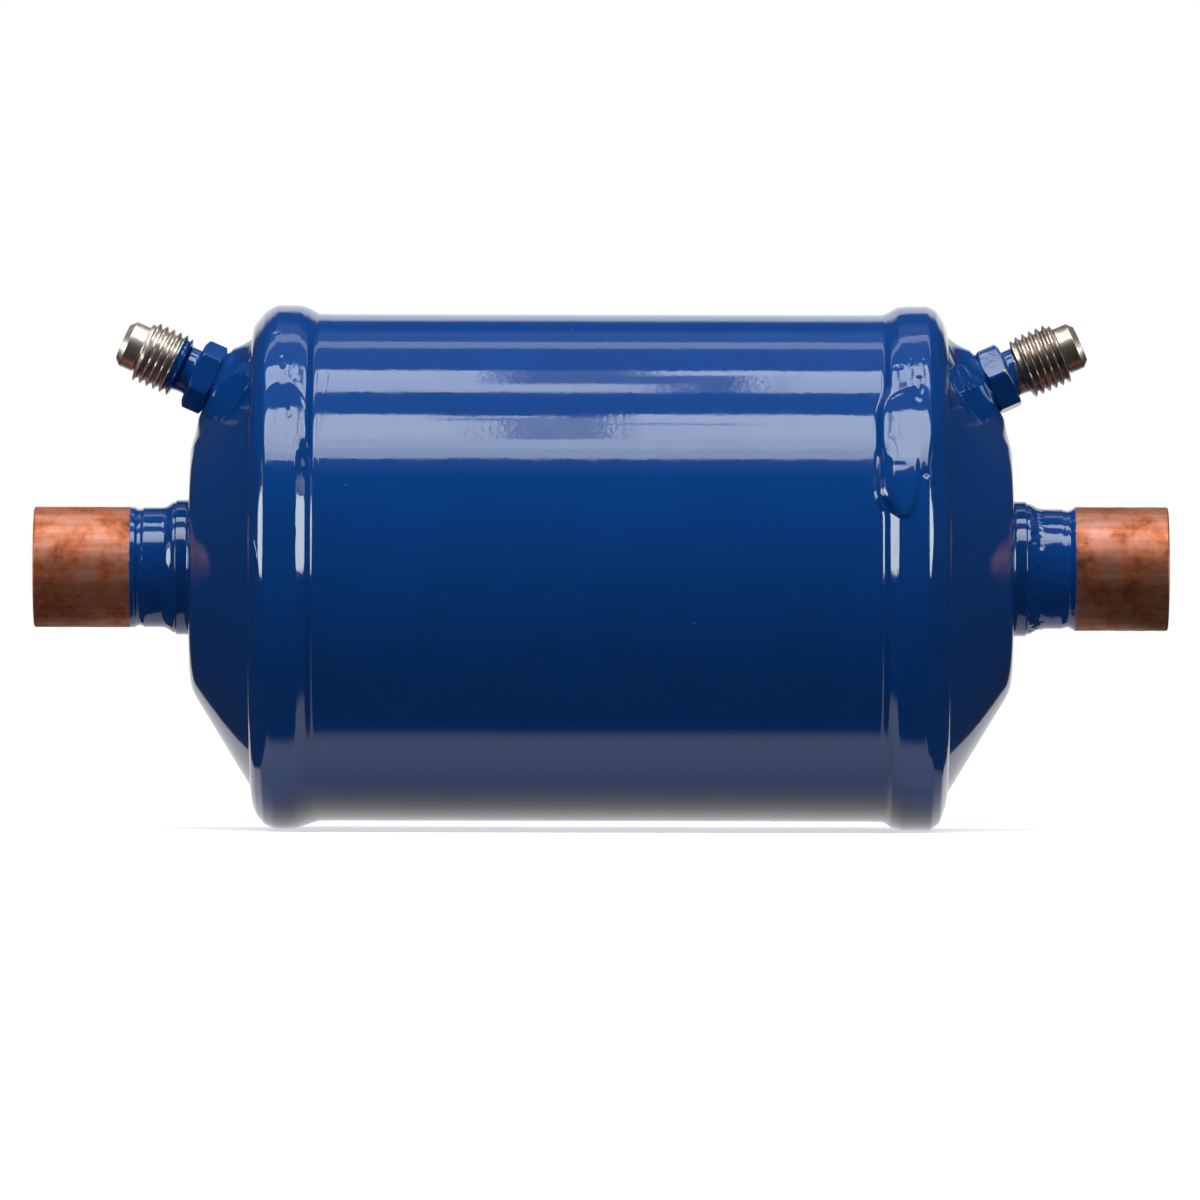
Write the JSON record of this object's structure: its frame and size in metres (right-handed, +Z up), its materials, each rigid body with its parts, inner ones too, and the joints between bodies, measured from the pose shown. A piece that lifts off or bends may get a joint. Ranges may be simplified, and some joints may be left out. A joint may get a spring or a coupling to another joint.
{
  "type": "filter drier",
  "caption": "Round welded steel drier with domed end caps, copper solder sockets on its axis and a threaded access valve on each cap.",
  "frame": {"origin": "on the drier's axis at mid-length", "axes": "+X along the axis from inlet to outlet, +Z up, on the side of the access valves"},
  "size_m": [0.1988, 0.0922, 0.0922],
  "materials": {
    "enamel": "gloss",
    "copper": "satin",
    "plated_steel": "satin",
    "brass": "satin",
    "ptfe": "satin",
    "rubber": "matte",
    "spring_steel": "satin",
    "inner_steel": "satin",
    "desiccant": "matte",
    "felt": "matte",
    "gauze": "satin"
  },
  "bodies": {
    "drier": {"shell": "enamel", "inlet_end_cap": "enamel", "inlet_seam_weld": "enamel", "inlet_connection": "copper", "inlet_connection_braze": "enamel", "inlet_valve_body": "plated_steel", "inlet_valve_braze": "enamel", "inlet_valve_barrel": "brass", "inlet_valve_gland_seal": "ptfe", "inlet_valve_spring": "spring_steel", "outlet_end_cap": "enamel", "outlet_seam_weld": "enamel", "outlet_connection": "copper", "outlet_connection_braze": "enamel", "outlet_valve_body": "plated_steel", "outlet_valve_braze": "enamel", "outlet_valve_barrel": "brass", "outlet_valve_gland_seal": "ptfe", "outlet_valve_spring": "spring_steel", "block_spring": "spring_steel", "spring_plate": "inner_steel", "drying_block": "desiccant", "filter_pad": "felt", "outlet_screen": "gauze", "support_plate": "inner_steel"},
    "inlet_valve_core_pin": {"inlet_valve_pin": "brass", "inlet_valve_seat_seal": "rubber"},
    "outlet_valve_core_pin": {"outlet_valve_pin": "brass", "outlet_valve_seat_seal": "rubber"}
  },
  "joints": [
    {"name": "inlet_pin_press", "type": "slide", "parent": "drier", "child": "inlet_valve_core_pin", "axis": [0.9157, 0, -0.4019], "range_m": [0, 0.0015], "stiffness_N_per_m": 1500, "springref_m": -0.002, "deforming": ["inlet_valve_spring"]},
    {"name": "outlet_pin_press", "type": "slide", "parent": "drier", "child": "outlet_valve_core_pin", "axis": [-0.9157, 0, -0.4019], "range_m": [0, 0.0015], "stiffness_N_per_m": 1500, "springref_m": -0.002, "deforming": ["outlet_valve_spring"]}
  ]
}
